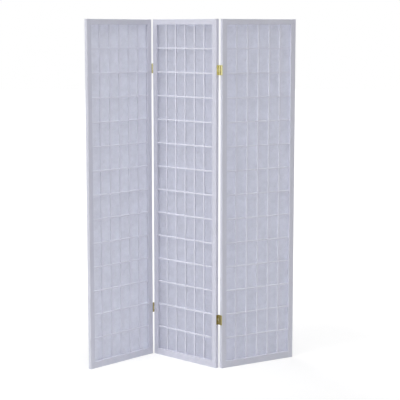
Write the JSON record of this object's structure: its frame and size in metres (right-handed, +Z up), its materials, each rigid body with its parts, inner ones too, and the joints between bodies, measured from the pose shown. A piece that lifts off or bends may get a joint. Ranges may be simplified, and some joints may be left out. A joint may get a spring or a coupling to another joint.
{
  "type": "folding screen",
  "caption": "Folding shoji room divider: painted wooden panels with a strip lattice over translucent paper, joined by two-way brass hinges.",
  "frame": {"origin": "on the floor, at the middle of the standing screen's footprint box", "axes": "+Z up; the lattice faces of the zigzag look towards -Y, and +X runs from the left panel to the right panel seen from there"},
  "size_m": [1.0658, 0.3424, 1.785],
  "materials": {
    "white_painted_wood": "satin white paint over close-grained softwood, edges eased",
    "rice_paper": "translucent fibrous white paper",
    "dowel_wood": "bare beech, hidden",
    "brass": "bright brass plate",
    "brass_screws": "brass-plated steel, cross recess"
  },
  "bodies": {
    "centre_panel": {"centre_left_stile": "white_painted_wood", "centre_right_stile": "white_painted_wood", "centre_top_rail": "white_painted_wood", "centre_bottom_rail": "white_painted_wood", "centre_lattice_uprights": "white_painted_wood", "centre_lattice_crossbars": "white_painted_wood", "centre_paper": "rice_paper", "centre_dowels": "dowel_wood", "left_lower_hinge_front_leaf": "brass", "left_lower_hinge_front_pin": "brass", "left_lower_hinge_front_leaf_screws": "brass_screws", "left_upper_hinge_front_leaf": "brass", "left_upper_hinge_front_pin": "brass", "left_upper_hinge_front_leaf_screws": "brass_screws", "right_lower_hinge_back_leaf": "brass", "right_lower_hinge_back_pin": "brass", "right_lower_hinge_back_leaf_screws": "brass_screws", "right_upper_hinge_back_leaf": "brass", "right_upper_hinge_back_pin": "brass", "right_upper_hinge_back_leaf_screws": "brass_screws"},
    "left_links": {"left_lower_hinge_link": "brass", "left_upper_hinge_link": "brass"},
    "left_panel": {"left_left_stile": "white_painted_wood", "left_right_stile": "white_painted_wood", "left_top_rail": "white_painted_wood", "left_bottom_rail": "white_painted_wood", "left_lattice_uprights": "white_painted_wood", "left_lattice_crossbars": "white_painted_wood", "left_paper": "rice_paper", "left_dowels": "dowel_wood", "left_lower_hinge_back_leaf": "brass", "left_lower_hinge_back_pin": "brass", "left_lower_hinge_back_leaf_screws": "brass_screws", "left_upper_hinge_back_leaf": "brass", "left_upper_hinge_back_pin": "brass", "left_upper_hinge_back_leaf_screws": "brass_screws"},
    "right_links": {"right_lower_hinge_link": "brass", "right_upper_hinge_link": "brass"},
    "right_panel": {"right_left_stile": "white_painted_wood", "right_right_stile": "white_painted_wood", "right_top_rail": "white_painted_wood", "right_bottom_rail": "white_painted_wood", "right_lattice_uprights": "white_painted_wood", "right_lattice_crossbars": "white_painted_wood", "right_paper": "rice_paper", "right_dowels": "dowel_wood", "right_lower_hinge_front_leaf": "brass", "right_lower_hinge_front_pin": "brass", "right_lower_hinge_front_leaf_screws": "brass_screws", "right_upper_hinge_front_leaf": "brass", "right_upper_hinge_front_pin": "brass", "right_upper_hinge_front_leaf_screws": "brass_screws"}
  },
  "joints": [
    {"name": "left_fold_forward", "type": "hinge", "parent": "centre_panel", "child": "left_links", "pos_m": [-0.20991, 0.15316, 0.8925], "axis": [0, 0, 1], "range_deg": [-89, 91]},
    {"name": "left_fold_back", "type": "hinge", "parent": "left_links", "child": "left_panel", "pos_m": [-0.22515, 0.16762, 0.8925], "axis": [0, 0, 1], "range_deg": [-90, 0]},
    {"name": "right_fold_back", "type": "hinge", "parent": "centre_panel", "child": "right_links", "pos_m": [0.13826, -0.13739, 0.8925], "axis": [0, 0, 1], "range_deg": [-73.5, 106.5]},
    {"name": "right_fold_forward", "type": "hinge", "parent": "right_links", "child": "right_panel", "pos_m": [0.14908, -0.1554, 0.8925], "axis": [0, 0, 1], "range_deg": [-90, 0]}
  ]
}
